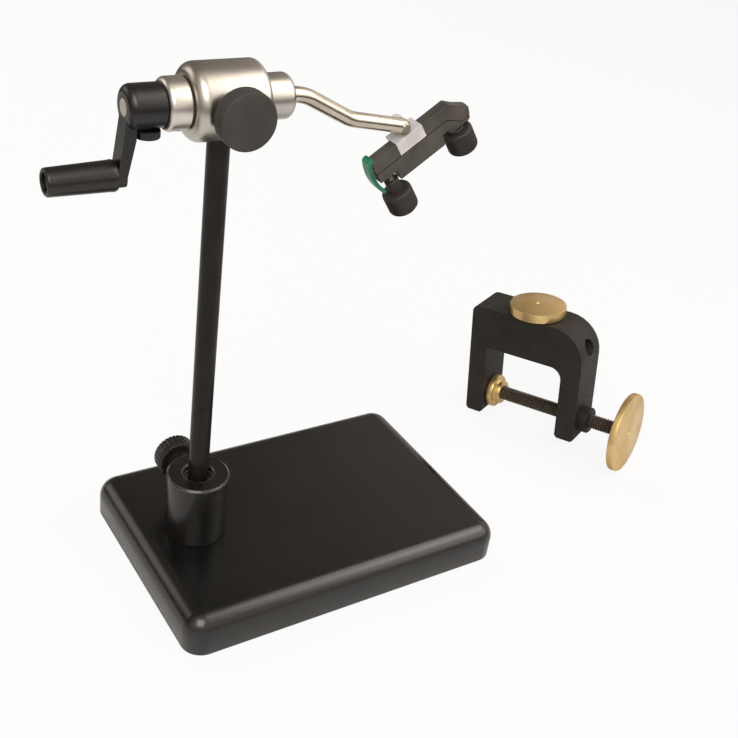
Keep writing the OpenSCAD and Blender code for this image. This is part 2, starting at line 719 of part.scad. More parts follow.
// The two saddle screws start in the far side of the jaw and end in the near cheek
module saddle_screw_places() {
    for (u = [-saddle_len / 4, saddle_len / 4])
        translate([u, jaw_w / 2, (waist_top + upper_low) / 2]) along_front() children();
}
module jaw_saddle() {
    color("#d4d1cb") at_jaws() difference() {
        union() {
            translate([-saddle_len / 2, -jaw_w / 2, waist_top])
                cube([saddle_len, jaw_w / 2 + ear_far, bridge_t]);
            translate([-saddle_len / 2, -jaw_w / 2, upper_low])
                cube([saddle_len, cheek_t, saddle_top - upper_low]);
            translate([0, (ear_near + ear_far) / 2, 0]) slab(ear_t) polygon(concat(
                [[ear_r, waist_top]], arc(0, 0, ear_r, 0, 180), [[-ear_r, waist_top]]));
        }
        translate([0, ear_near, 0]) along_back() hole(pivot_d, ear_t + over);
        saddle_screw_places() hole(saddle_screw_d, jaw_w - cheek_t / 2);
    }
}
module saddle_screws() {
    color("#77736c") at_jaws() saddle_screw_places() translate([0, 0, tip_gap]) union() {
        rod(saddle_screw_d, jaw_w - cheek_t / 2 - 2 * tip_gap);
        rod(head_share * saddle_screw_d, saddle_screw_d / 2);
    }
}
module jaw_pivot_screw() {
    start = tip_gap - face_gap - shaft_d / 2;
    color("#8d8981") at_jaws() translate([0, start, 0]) along_back() union() {
        rod(pivot_d, ear_far - start);
        rod(pivot_head_d, pivot_head_h);
    }
}

// Plan of both jaws: parallel sides, then a taper to the beak's tip past the front screw
module jaw_plan() {
    tip = beak(beak_top_shares[3])[0];
    taper = front_screw_at + jaw_screw_d / 2 + face_gap;
    translate([0, 0, lower_low - over]) linear_extrude(-lower_low + over) polygon([
        [-jaw_back - over, -jaw_w / 2], [taper, -jaw_w / 2], [tip, -beak_tip_w / 2],
        [tip + over, -beak_tip_w / 2], [tip + over, beak_tip_w / 2], [tip, beak_tip_w / 2],
        [taper, jaw_w / 2], [-jaw_back - over, jaw_w / 2]]);
}
module upper_jaw() {
    color("#4a453f") at_jaws() difference() {
        intersection() {
            slab(2 * jaw_w) polygon(concat([[-jaw_back, upper_low], [-jaw_back, upper_top]],
                [for (s = beak_top_shares) beak(s)],
                [beak_heel, [beak_root + beak_rest_share * upper_h, upper_low]]));
            jaw_plan();
        }
        translate([-saddle_len / 2, -jaw_w / 2 - over, waist_top])
            cube([saddle_len, jaw_w + 2 * over, bridge_t + over]);
        translate([-saddle_len / 2, -jaw_w / 2 - over, upper_low - over])
            cube([saddle_len, cheek_t + over, upper_h + 2 * over]);
        saddle_screw_places() hole(saddle_screw_d, jaw_w);
        saddle_screw_places() hole(head_share * saddle_screw_d, saddle_screw_d / 2 + 2 * tip_gap);
        translate([front_screw_at, 0, beak_heel[1]])
            hole(jaw_screw_d, front_tip - beak_heel[1] + tip_gap);
    }
}
module lower_jaw() {
    color("#423d38") at_jaws() difference() {
        intersection() {
            slab(2 * jaw_w) polygon(concat([[-jaw_back, tongue_low], [-jaw_back, lower_top],
                [beak_root + beak_rest_share * upper_h, lower_top],
                [beak_heel[0], beak_heel[1] - jaw_gap]], [for (s = beak_toe_shares) beak(s)],
                [[beak_heel[0] + jaw_gap, beak_seat[1]], [beak_seat[0] + jaw_gap, beak_seat[1]],
                [beak_seat[0], tongue_low],
                [lower_fwd + jaw_gap, tongue_low], [lower_fwd, lower_low],
                [-lower_back, lower_low], [-lower_back, tongue_low]]));
            jaw_plan();
        }
        translate([front_screw_at, 0, beak_seat[1]]) hole(jaw_screw_d + 2 * face_gap, lower_h);
        translate([-rear_screw_at, 0, tongue_low]) hole(jaw_screw_d, tongue_h + over);
    }
}
module tail_clip() {
    chord = clip_len / 2;
    inner_r = (chord * chord + clip_bow * clip_bow) / (2 * clip_bow);
    spread = asin(chord / inner_r);
    centre = inner_r - clip_bow;
    color("#1f8f66") at_jaws() translate([-jaw_back, 0, upper_top]) rotate([0, -clip_lean, 0])
        slab(jaw_w) polygon(concat(arc(centre, -chord, inner_r, 180 + spread, 180 - spread),
            [[clip_lip, 0]], arc(clip_lip - clip_t / 2, clip_t / 2, clip_t / 2, 0, 90),
            arc(0, 0, clip_t, 90, 180 - spread),
            after_first(arc(centre, -chord, inner_r + clip_t, 180 - spread, 180 + spread))));
}

// A knurled jaw knob whose neck hangs from z = 0, with its screw's hole from above
module jaw_knob(neck_h, neck_d) {
    rotate([180, 0, 0]) difference() {
        union() {
            translate([0, 0, neck_h]) rotate_extrude() polygon(
                bar_outline(jaw_knob_d / 2, jaw_knob_h, jaw_knob_r, jaw_knob_r));
            cylinder(d = neck_d, h = neck_h + jaw_knob_r);
        }
        hole(jaw_screw_d, neck_h + jaw_knob_h * hole_share + tip_gap);
    }
}
module front_jaw_screw() {
    low = front_knob_top - jaw_knob_h * hole_share;
    color("#6e6a64") at_jaws() translate([front_screw_at, 0, low])
        rod(jaw_screw_d, front_tip - low);
}
module front_jaw_knob() {
    color("#393531") at_jaws() translate([front_screw_at, 0, front_knob_top + front_neck_h])
        jaw_knob(front_neck_h, front_neck_d);
}
module rear_jaw_screw() {
    low = rear_knob_top - jaw_knob_h * hole_share;
    color("#8b867e") at_jaws() translate([-rear_screw_at, 0, low])
        rod(jaw_screw_d, upper_low - tip_gap - low);
}
module rear_jaw_knob() {
    color("#393531") at_jaws() translate([-rear_screw_at, 0, rear_knob_top + rear_neck_h])
        jaw_knob(rear_neck_h, rear_neck_d);
}

module clamp_frame() {
    right = clamp_len - screw_arm_t;
    ceiling = clamp_h - spine_h;
    color("#3d3934") at_clamp() difference() {
        union() {
            slab(clamp_t) polygon(concat(
                [[0, arm_bevel], [arm_bevel, 0], [fixed_arm_t - arm_bevel, 0],
                [fixed_arm_t, arm_bevel]],
                arc(fixed_arm_t + arm_bevel, ceiling - arm_bevel, arm_bevel, 180, 90),
                arc(right - window_r, ceiling - window_r, window_r, 90, 0),
                [[right, arm_bevel], [right + arm_bevel, 0], [clamp_len - arm_bevel, 0],
                [clamp_len, arm_bevel]],
                arc(clamp_len - spine_r, clamp_h - spine_r, spine_r, 0, 90),
                arc(heel_r, clamp_h - heel_r, heel_r, 90, 180)));
            translate([right + arm_bevel, 0, arm_end]) along_x() rotate_extrude() polygon(
                bevel_outline(clamp_boss_d / 2, clamp_len + clamp_boss_h - right - arm_bevel,
                    0, disc_bevel));
        }
        translate([0, 0, bore_h]) along_x() hole(stem_d, clamp_len + over);
        translate([right, 0, arm_end]) along_x()
            hole(clamp_screw_d, screw_arm_t + clamp_boss_h + over);
        translate([clamp_len / 2, 0, bore_h]) hole(stem_disc_screw_d, spine_h / 2 + over);
    }
}
module clamp_pad() {
    color("#c8a45c") at_clamp() translate([pad_at, 0, arm_end]) along_x() difference() {
        union() {
            rotate_extrude() polygon(bevel_outline(pad_d / 2, pad_t, disc_bevel, disc_bevel));
            rotate_extrude()
                polygon(bevel_outline(pad_hub_d / 2, pad_t + pad_hub_h, disc_bevel, disc_bevel));
        }
        translate([0, 0, pad_t - tip_gap])
            cylinder(d = clamp_screw_d + 2 * run_fit, h = pad_hub_h + over);
    }
}
module clamp_screw() {
    color("#57504a") at_clamp() translate([screw_at, 0, arm_end]) along_x()
        rod(clamp_screw_d, clamp_screw_len);
}
module clamp_handle_disc() {
    mark = disc_t * (1 - hole_share) / 2;
    color("#d2b06a") at_clamp() translate([disc_at, 0, arm_end]) along_x() difference() {
        rotate_extrude() polygon(bevel_outline(disc_d / 2, disc_t, disc_bevel, disc_bevel));
        hole(clamp_screw_d, disc_t * hole_share + tip_gap);
        translate([0, 0, disc_t - mark]) cylinder(d = 3 * mark, h = mark + over);
    }
}
module clamp_stem_screw() {
    start = bore_h + stem_d / 2 + run_fit + tip_gap;
    color("#57504a") at_clamp() translate([clamp_len / 2, 0, start])
        rod(stem_disc_screw_d, clamp_h + face_gap + stem_disc_t * hole_share - start);
}
module clamp_stem_disc() {
    color("#d2b06a") at_clamp() translate([clamp_len / 2, 0, clamp_h + face_gap]) difference() {
        rotate_extrude() polygon(
            bevel_outline(stem_disc_d / 2, stem_disc_t, disc_bevel, disc_bevel));
        hole(stem_disc_screw_d, stem_disc_t * hole_share + tip_gap);
    }
}

base_plate();
stem_collar();
collar_bolt();
collar_lock_screw();
collar_lock_knob();
stem();
housing();
rear_bush();
front_bush();
housing_grub_screw();
lock_plug();
lock_screw();
lock_knob();
rotary_shaft();
thrust_washer();
thrust_collar();
thrust_grub_screw();
snap_ring();
crank_arm();
crank_screw();
crank_thumb_knob();
handle_pin();
handle_grip();
jaw_saddle();
jaw_pivot_screw();
saddle_screws();
upper_jaw();
tail_clip();
lower_jaw();
front_jaw_screw();
front_jaw_knob();
rear_jaw_screw();
rear_jaw_knob();
clamp_frame();
clamp_pad();
clamp_screw();
clamp_handle_disc();
clamp_stem_screw();
clamp_stem_disc();
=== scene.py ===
# %% [markdown]
# # A rotary fly tying vise on its pedestal base
# The real object is turned, bent and milled metal: a coated base, a dark stem, a silver
# barrel, a bent polished shaft, a crank, two sloping jaws, and a C-clamp beside it.
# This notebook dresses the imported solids: it models the pieces that need smooth edges,
# knurls and threads, and gives every piece the finish of the real metal.

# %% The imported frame
import math

import bpy
from mathutils import Matrix, Vector


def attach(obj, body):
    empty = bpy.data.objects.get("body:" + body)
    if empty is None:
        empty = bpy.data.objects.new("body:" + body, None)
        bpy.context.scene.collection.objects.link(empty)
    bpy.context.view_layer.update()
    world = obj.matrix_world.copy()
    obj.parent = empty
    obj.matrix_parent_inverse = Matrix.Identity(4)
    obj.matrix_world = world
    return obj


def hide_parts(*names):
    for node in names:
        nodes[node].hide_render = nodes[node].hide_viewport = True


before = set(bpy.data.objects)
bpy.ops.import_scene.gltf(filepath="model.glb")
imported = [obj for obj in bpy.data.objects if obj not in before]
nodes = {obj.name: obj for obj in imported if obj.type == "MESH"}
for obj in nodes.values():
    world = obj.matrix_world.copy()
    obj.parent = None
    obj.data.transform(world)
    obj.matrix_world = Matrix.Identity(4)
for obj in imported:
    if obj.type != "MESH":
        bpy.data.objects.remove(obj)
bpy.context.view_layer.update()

MM = 0.001
print("nodes in the frame:", len(nodes))

# %% [markdown]
# ## The camera
# The photo was taken from the left front and above, slightly tilted. Its place and turn
# were solved from the base's corners, the stem and the barrel, so they are given as
# numbers here instead of being set by eye.

# %% Camera
CAMERA_AT = Vector((-188.53, -374.16, 381.55)) * MM
CAMERA_AHEAD = Vector((0.50563, 0.68083, -0.52992)).normalized()
CAMERA_RIGHT = Vector((0.84170, -0.52412, 0.12974))
CAMERA_LENS = 54.57

side = (CAMERA_RIGHT - CAMERA_AHEAD * CAMERA_RIGHT.dot(CAMERA_AHEAD)).normalized()
camera = bpy.data.objects.new("camera", bpy.data.cameras.new("camera"))
camera.data.lens = CAMERA_LENS
camera.matrix_world = Matrix.Translation(CAMERA_AT) @ Matrix(
    (side, side.cross(CAMERA_AHEAD), -CAMERA_AHEAD)).transposed().to_4x4()
bpy.context.scene.collection.objects.link(camera)
bpy.context.scene.camera = camera
bpy.context.scene.view_settings.view_transform = "Standard"
print("camera stands", round(CAMERA_AT.length, 3), "m from the stem's foot")

# %% [markdown]
# ## Colours and nodes
# Colours are written as sRGB hex values, as a paint chart gives them, and one function
# turns them to the linear values that the shader wants. A second function adds a node
# with its settings and links, so a material reads as a short list.

# %% Colour and node helpers
def hex_colour(code):
    """A linear RGBA colour from an sRGB hex code."""
    channels = [int(code[i:i + 2], 16) / 255 for i in (1, 3, 5)]
    return [c / 12.92 if c <= 0.04045 else ((c + 0.055) / 1.055) ** 2.4 for c in channels] + [1]


def add_node(tree, kind, values=None, links=None, **settings):
    """Adds a node, sets its attributes and input values, and links its inputs."""
    node = tree.nodes.new(kind)
    for key, value in settings.items():
        setattr(node, key, value)
    for key, value in (values or {}).items():
        node.inputs[key].default_value = value
    for key, source in (links or {}).items():
        tree.links.new(source, node.inputs[key])
    return node


# %% [markdown]
# ## Metal finishes
# All the pieces are metal, and they differ in colour, in gloss and in the marks that the
# tool left. One function makes them: a fine grain, stretched along the tool's path,
# moves the roughness and a shallow bump, and a slow cloud shifts the colour a little,
# because handled metal is never one flat colour. Lighter edges stand for wear and are
# also a painted highlight along every edge.

# %% Finish function
EDGE_MM = 0.35  # how far wear and the painted edge highlight reach in from an edge


def finish(name, dark, light, rough, grain_mm, bump_mm, metallic=0.0, specular=0.5,
           cloud_mm=14, edge=None):
    """A metal finish between two colours. rough is the range of the roughness, grain_mm
    the grain's size along X, Y and Z, and bump_mm its height."""
    mat = bpy.data.materials.new(name)
    mat.use_nodes = True
    tree = mat.node_tree
    tree.nodes.clear()
    where = add_node(tree, "ShaderNodeTexCoord").outputs["Object"]
    stretched = add_node(tree, "ShaderNodeMapping",
                         {"Scale": [1 / (g * MM) for g in grain_mm]}, {"Vector": where})
    grain = add_node(tree, "ShaderNodeTexNoise", {"Scale": 1, "Detail": 3},
                     {"Vector": stretched.outputs[0]})
    cloud = add_node(tree, "ShaderNodeTexNoise", {"Scale": 1 / (cloud_mm * MM), "Detail": 4},
                     {"Vector": where})
    blend = add_node(tree, "ShaderNodeMapRange", {"From Min": 0.35, "From Max": 0.65},
                     {"Value": cloud.outputs[0]})
    # A Mix node has sockets for each data type: 6 and 7 are its colours, output 2 their mix
    colour = add_node(tree, "ShaderNodeMix", {6: hex_colour(dark), 7: hex_colour(light)},
                      {"Factor": blend.outputs[0]}, data_type="RGBA")
    shade = colour.outputs[2]
    if edge:
        # Where the rounded normal leaves the true one there is an edge; it gets the lighter edge
        # colour, which is wear and a painted highlight
        rounded = add_node(tree, "ShaderNodeBevel", {"Radius": EDGE_MM * MM}, samples=4)
        true = add_node(tree, "ShaderNodeNewGeometry").outputs["Normal"]
        match = add_node(tree, "ShaderNodeVectorMath", {}, {0: rounded.outputs[0], 1: true},
                         operation="DOT_PRODUCT")
        edge_wear_and_highlight = add_node(tree, "ShaderNodeMapRange", {"From Min": 0.99, "From Max": 0.86},
                        {"Value": match.outputs["Value"]})
        wear_and_highlight_colour = add_node(tree, "ShaderNodeMix", {7: hex_colour(edge)},
                        {"Factor": edge_wear_and_highlight.outputs[0], 6: shade}, data_type="RGBA")
        shade = wear_and_highlight_colour.outputs[2]
    gloss = add_node(tree, "ShaderNodeMapRange",
                     {"From Min": 0.3, "From Max": 0.7, "To Min": rough[0], "To Max": rough[1]},
                     {"Value": grain.outputs[0]})
    bump = add_node(tree, "ShaderNodeBump", {"Distance": bump_mm * MM, "Strength": 1},
                    {"Height": grain.outputs[0]})
    shader = add_node(tree, "ShaderNodeBsdfPrincipled",
                      {"Metallic": metallic, "Specular IOR Level": specular},
                      {"Base Color": shade, "Roughness": gloss.outputs[0],
                       "Normal": bump.outputs[0]})
    add_node(tree, "ShaderNodeOutputMaterial", {}, {"Surface": shader.outputs[0]})
    return mat


# %% The finishes
# Powder coat: sprayed and baked, so it has a soft sheen and a fine orange peel
POWDER_COAT = finish("powder_coated_steel", "#090807", "#12100d", (0.22, 0.28),
                     (1.6, 1.6, 1.6), 0.005, specular=0.6, cloud_mm=30)
# Clamp casting: coated over a cast surface, rougher than the base
CAST_COAT = finish("coated_cast_iron", "#1c1816", "#26211d", (0.48, 0.66),
                   (1.6, 1.6, 1.6), 0.05, specular=0.3, edge="#3c3732")
# Black oxide on turned rod: the lathe leaves fine rings, the oxide a brownish black
STEM_OXIDE = finish("black_oxide_rod", "#15120f", "#201b17", (0.22, 0.28),
                    (30, 30, 0.5), 0.0006, specular=0.17)
# The collar's light edge colour is wear and also a painted highlight along its top rim
COLLAR_OXIDE = finish("black_oxide_turning", "#100e0c", "#191613", (0.22, 0.27),
                      (30, 30, 0.5), 0.0006, specular=0.46, edge="#a59b90")
# Black anodised aluminium: smooth, satin, a little warm
ANODISED = finish("black_anodised_aluminium", "#0d0b0a", "#171310", (0.28, 0.38),
                  (0.4, 2, 2), 0.006, specular=0.5, edge="#37322d")
# The lock knob's face is matt and greyer than its rim
KNOB_FACE = finish("matt_anodised_aluminium", "#383430", "#423d39", (0.55, 0.68),
                   (0.9, 0.9, 0.9), 0.02, specular=0.3, edge="#57514a")
# Blued jaw steel: hardened bar, ground along its length
JAW_STEEL = finish("blued_tool_steel", "#433e39", "#554f49", (0.42, 0.56),
                   (3, 0.5, 0.8), 0.012, metallic=0.2, specular=0.35, edge="#5c544d")
JAW_KNOB = finish("knurled_black_steel", "#211d1a", "#302b27", (0.46, 0.6),
                  (0.8, 0.8, 0.8), 0.015, specular=0.35, edge="#463f39")
# Turned aluminium: bright, with rings round the barrel's axis
ALUMINIUM = finish("turned_aluminium", "#b0aca5", "#bfbbb4", (0.3, 0.34),
                   (0.3, 20, 20), 0.0012, metallic=1.0)
# The thrust ring is lighter than the barrel: turned steel, left bright
BRIGHT_RING = finish("turned_bright_steel", "#ccc7c0", "#dad6cf", (0.3, 0.36),
                     (0.3, 20, 20), 0.0012, metallic=1.0)
# Polished stainless steel with a warm cast
STAINLESS = finish("polished_stainless_steel", "#b5ad9f", "#c9c1b3", (0.16, 0.24),
                   (6, 1.5, 1.5), 0.004, metallic=1.0)
BARE_STEEL = finish("ground_bare_steel", "#cbc7c3", "#dfdcd9", (0.42, 0.55),
                    (4, 0.5, 0.5), 0.01, metallic=0.35)
SCREW_STEEL = finish("zinc_plated_steel", "#8d867c", "#a39b90", (0.3, 0.45),
                     (0.8, 0.8, 0.8), 0.01, metallic=1.0)
# Sawn and turned brass plate, left bare, so it has tarnished a little
BRASS = finish("satin_brass", "#cdab6c", "#dec28e", (0.30, 0.46),
               (1.1, 1.1, 1.1), 0.02, metallic=0.9, edge="#f0dba6")
BRONZE = finish("sintered_bronze", "#8a6232", "#a67c45", (0.45, 0.6),
                (0.4, 0.4, 0.4), 0.02, metallic=1.0)
SCREW_OXIDE = finish("oiled_screw_steel", "#3a312a", "#54483c", (0.36, 0.5),
                     (0.8, 0.8, 0.8), 0.015, metallic=0.6, edge="#8a7c6a")
# Green anodised spring strip
GREEN = finish("green_anodised_strip", "#085036", "#177a55", (0.26, 0.38),
               (3, 0.8, 3), 0.01, metallic=0.2, specular=0.5, edge="#3aa983")
FIBRE = finish("dark_fibre_washer", "#2a1f19", "#38291f", (0.6, 0.75), (0.5, 0.5, 0.5), 0.02)
NYLON = finish("nylon_plug", "#d8cdb0", "#e6ddc4", (0.4, 0.5), (0.8, 0.8, 0.8), 0.01)
print("finishes:", len(bpy.data.materials))

# %% Finishes of the pieces that stay as the frame has them
CAD_FINISH = {
    "collar_bolt": SCREW_OXIDE, "collar_lock_screw": SCREW_OXIDE,
    "rear_bush": BRONZE, "front_bush": BRONZE, "housing_grub_screw": SCREW_OXIDE,
    "lock_plug": NYLON, "lock_screw": SCREW_OXIDE, "thrust_washer": FIBRE,
    "thrust_grub_screw": BRONZE, "snap_ring": SCREW_STEEL, "crank_screw": SCREW_OXIDE,
    "handle_pin": SCREW_OXIDE, "jaw_pivot_screw": SCREW_STEEL, "saddle_screws": SCREW_STEEL,
    "front_jaw_screw": SCREW_STEEL, "clamp_stem_screw": SCREW_OXIDE,
}
for name, mat in CAD_FINISH.items():
    nodes[name].data.materials.clear()
    nodes[name].data.materials.append(mat)
print("kept nodes dressed:", len(CAD_FINISH))

# %% [markdown]
# ## Modelling helpers
# Most pieces came off a lathe, so most are made the same way: a circle is added, then
# extruded and scaled ring by ring along the piece's outline, as a hand modeller would.
# The outline is a list of radius and height in millimetres. Where the last ring meets
# the first the piece has a bore; otherwise its two ends are capped.

# %% Turned pieces
def nothing_selected():
    """Leaves edit mode and deselects everything."""
    if bpy.context.mode != "OBJECT":
        bpy.ops.object.mode_set(mode="OBJECT")
    bpy.ops.object.select_all(action="DESELECT")


def only(obj):
    """Selects one object and makes it the active one."""
    nothing_selected()
    obj.select_set(True)
    bpy.context.view_layer.objects.active = obj


def smooth(obj, degrees=32):
    """Smooth shading, with edges sharper than the angle kept crisp."""
    only(obj)
    bpy.ops.object.shade_smooth_by_angle(angle=math.radians(degrees))


def turned(name, outline, sides=96, bored=False):
    """A turned piece along +Z from (radius, height) pairs in millimetres."""
    nothing_selected()
    radius, height = outline[0]
    bpy.ops.mesh.primitive_circle_add(vertices=sides, radius=radius * MM,
                                      location=(0, 0, height * MM))
    piece = bpy.context.object
    piece.name = name
    bpy.ops.object.mode_set(mode="EDIT")
    bpy.ops.mesh.select_all(action="SELECT")
    for low, high in zip(outline, outline[1:]):
        bpy.ops.mesh.extrude_region_move(
            TRANSFORM_OT_translate={"value": (0, 0, (high[1] - low[1]) * MM)})
        if high[0] != low[0]:
            grow = high[0] / low[0]
            bpy.ops.transform.resize(value=(grow, grow, 1), center_override=(0, 0, 0))
    bpy.ops.mesh.select_all(action="SELECT")
    if bored:
        bpy.ops.mesh.remove_doubles(threshold=0.001 * MM)
    else:
        bpy.ops.mesh.fill_holes(sides=0)
    bpy.ops.mesh.select_all(action="SELECT")
    bpy.ops.mesh.normals_make_consistent(inside=False)
    bpy.ops.object.mode_set(mode="OBJECT")
    smooth(piece)
    return piece


def arc(centre_r, centre_h, radius, start, stop, steps=6):
    """Outline points round a quarter turn, from angle start to stop in degrees."""
    angles = [math.radians(start + (stop - start) * i / steps) for i in range(steps + 1)]
    return [(centre_r + radius * math.cos(a), centre_h + radius * math.sin(a)) for a in angles]


def press_in(piece, chosen, share):
    """Scales the chosen vertices towards the piece's own Z axis."""
    only(piece)
    for vertex in piece.data.vertices:
        vertex.select = chosen(vertex.co)
    for face in piece.data.polygons:
        face.select = False
    for edge in piece.data.edges:
        edge.select = False
    bpy.ops.object.mode_set(mode="EDIT")
    bpy.ops.mesh.select_mode(type="VERT")
    bpy.ops.transform.resize(value=(share, share, 1), center_override=(0, 0, 0))
    bpy.ops.object.mode_set(mode="OBJECT")


RIM_SLACK = 0.01  # a vertex this near to the rim, in mm, belongs to it


def rim_place(piece, co, sides):
    """A vertex's radius, its height in mm, and its number round the rim."""
    return (math.hypot(co.x, co.y) / MM, (co.z + piece.location.z) / MM,
            round(math.atan2(co.y, co.x) / (2 * math.pi) * sides))


def knurl(piece, radius, low, high, rows, sides, depth):
    """A diamond knurl: every other vertex of the rim's grid is pressed in."""
    step = (high - low) / rows

    def chosen(co):
        reach, height, number = rim_place(piece, co, sides)
        return abs(reach - radius) <= RIM_SLACK \
            and low - RIM_SLACK < height < high + RIM_SLACK \
            and (number + round((height - low) / step)) % 2 == 0
    press_in(piece, chosen, (radius - depth) / radius)


def flute(piece, radius, low, high, count, sides, depth):
    """Straight flutes: one line of vertices in each span of the rim is pressed in."""
    def chosen(co):
        reach, height, number = rim_place(piece, co, sides)
        return reach >= radius - RIM_SLACK \
            and low - RIM_SLACK < height < high + RIM_SLACK and number % (sides // count) == 0
    press_in(piece, chosen, (radius - depth) / radius)


# %% [markdown]
# ## Placing, cutting and easing
# A piece is made round its own Z axis at the origin, then carried to its place, and the
# move is applied so that its place is in its mesh. Pieces that are milled from bar or
# cast are copies of the frame's own solids with their sharp edges eased, because a real
# edge always catches a thin line of light.

# %% Placing and dressing
AXIS_H = 233.5


def spot(x, y, z):
    """A shift in millimetres."""
    return Matrix.Translation(Vector((x, y, z)) * MM)


def tilt(degrees, axis):
    """A turn in degrees about a main axis."""
    return Matrix.Rotation(math.radians(degrees), 4, axis)


def dress(piece, place, mat, body, slot, *replaced):
    """Applies the piece's place, gives it its finish and body, and hides the nodes it replaces.
    slot is not used.
    """
    only(piece)
    piece.matrix_world = place @ piece.matrix_world
    bpy.ops.object.transform_apply(location=True, rotation=True, scale=True)
    piece.data.materials.clear()
    piece.data.materials.append(mat)
    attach(piece, body)
    if replaced:
        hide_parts(*replaced)
    print(piece.name, "has", len(piece.data.polygons), "faces")
    return piece


def combine(piece, tool, how):
    """A Boolean of two meshes, applied, with the tool deleted."""
    only(piece)
    cut = piece.modifiers.new("cut", "BOOLEAN")
    cut.operation = how
    cut.object = tool
    cut.solver = "EXACT"
    bpy.ops.object.modifier_apply(modifier=cut.name)
    bpy.data.objects.remove(tool, do_unlink=True)
    return piece


def eased(name, node, width, segments=2, degrees=28):
    """A copy of a frame solid with its sharp edges bevelled, width in millimetres."""
    piece = bpy.data.objects.new(name, nodes[node].data.copy())
    bpy.context.scene.collection.objects.link(piece)
    only(piece)
    bpy.ops.object.mode_set(mode="EDIT")
    bpy.ops.mesh.select_all(action="SELECT")
    bpy.ops.mesh.remove_doubles(threshold=0.002 * MM)
    bpy.ops.mesh.dissolve_limited(angle_limit=math.radians(0.5))
    bpy.ops.object.mode_set(mode="OBJECT")
    bevel = piece.modifiers.new("edges", "BEVEL")
    bevel.width = width * MM
    bevel.segments = segments
    bevel.angle_limit = math.radians(degrees)
    bpy.ops.object.modifier_apply(modifier=bevel.name)
    smooth(piece, 50)
    flat = piece.modifiers.new("flat_faces", "WEIGHTED_NORMAL")
    flat.keep_sharp = True
    only(piece)
    bpy.ops.object.modifier_apply(modifier=flat.name)
    return piece


# %% [markdown]
# ## Base plate
# The base is a heavy rectangular plate with round corners and a generous round along its
# top edge, which draws the long soft highlight. It starts as a cube; the upright
# edges are bevelled first and the top edges after them, in edit mode.

# %% Base plate
BASE_LEN, BASE_WID, BASE_H = 172, 118, 19.5
BASE_LEFT, BASE_FRONT = 29.5, 61.5
CORNER_R, TOP_R, FOOT_R = 10, 9, 0.6
BOLT_HEAD_R, BOLT_HEAD_H, BOLT_R = 6.86, 8.5, 4.06  # the room for the collar's bolt


def select_edges(piece, test):
    """Selects the edges whose two ends pass a test, in edge mode."""
    only(piece)
    for edge in piece.data.edges:
        ends = [piece.data.vertices[i].co / MM for i in edge.vertices]
        edge.select = test(*ends)
    for vertex in piece.data.vertices:
        vertex.select = False
    for face in piece.data.polygons:
        face.select = False
    bpy.context.tool_settings.mesh_select_mode = (False, True, False)
    bpy.ops.object.mode_set(mode="EDIT")


def round_edges(piece, test, radius, segments):
    """Rounds the edges that pass a test."""
    select_edges(piece, test)
    bpy.ops.mesh.bevel(offset=radius * MM, segments=segments, affect="EDGES")
    bpy.ops.object.mode_set(mode="OBJECT")


nothing_selected()
bpy.ops.mesh.primitive_cube_add(size=1)
base = bpy.context.object
base.name = "base_slab"
base.matrix_world = spot(BASE_LEN / 2 - BASE_LEFT, BASE_WID / 2 - BASE_FRONT, BASE_H / 2) \
    @ Matrix.Diagonal(Vector((BASE_LEN, BASE_WID, BASE_H, 1 / MM)) * MM)
bpy.ops.object.transform_apply(location=True, rotation=True, scale=True)
round_edges(base, lambda a, b: abs(a.z - b.z) > BASE_H / 2, CORNER_R, 16)
round_edges(base, lambda a, b: min(a.z, b.z) > BASE_H - 0.01, TOP_R, 14)
round_edges(base, lambda a, b: max(a.z, b.z) < 0.01, FOOT_R, 2)
pocket = turned("pocket", [(BOLT_HEAD_R, -1), (BOLT_HEAD_R, BOLT_HEAD_H),
                           (BOLT_R, BOLT_HEAD_H), (BOLT_R, 30)], 64)
combine(base, pocket, "DIFFERENCE")
smooth(base, 45)
dress(base, Matrix(), POWDER_COAT, "base", "black_coated_metal", "base_plate")

# %% [markdown]
# ## Collar and stem
# The collar is turned from bar, with a wide mouth where the stem goes in. The knob
# that locks it stands behind it: a stepped disc with flutes for the fingers.

# %% Collar, its knob and the stem
COLLAR_R, COLLAR_H, BORE_R, MOUTH_R = 14.7, 33.3, 4.81, 7.1
STEM_R, STEM_LEN, STEM_AT, BOLT_END = 4.75, 198, 30.3, 9.3
collar = turned("collar_turning", [
    (BOLT_R, 0.02), (COLLAR_R - 0.8, 0.02), (COLLAR_R - 0.2, 0.3), (COLLAR_R, 0.9),
    (COLLAR_R, COLLAR_H - 0.7), (COLLAR_R - 0.7, COLLAR_H),
    (MOUTH_R + 0.6, COLLAR_H), (MOUTH_R, COLLAR_H - 0.6), (MOUTH_R, COLLAR_H - 3),
    (BORE_R, COLLAR_H - 3.6), (BORE_R, BOLT_END), (BOLT_R, BOLT_END), (BOLT_R, 0.02)],
    96, bored=True)
dress(collar, spot(0, 0, BASE_H), COLLAR_OXIDE, "base", "black_oxide_steel", "stem_collar")

stem = turned("stem_rod", [(STEM_R - 0.45, 0), (STEM_R, 0.45), (STEM_R, STEM_LEN - 0.45),
                           (STEM_R - 0.45, STEM_LEN)], 64)
dress(stem, spot(0, 0, STEM_AT), STEM_OXIDE, "stem", "black_oxide_steel", "stem")

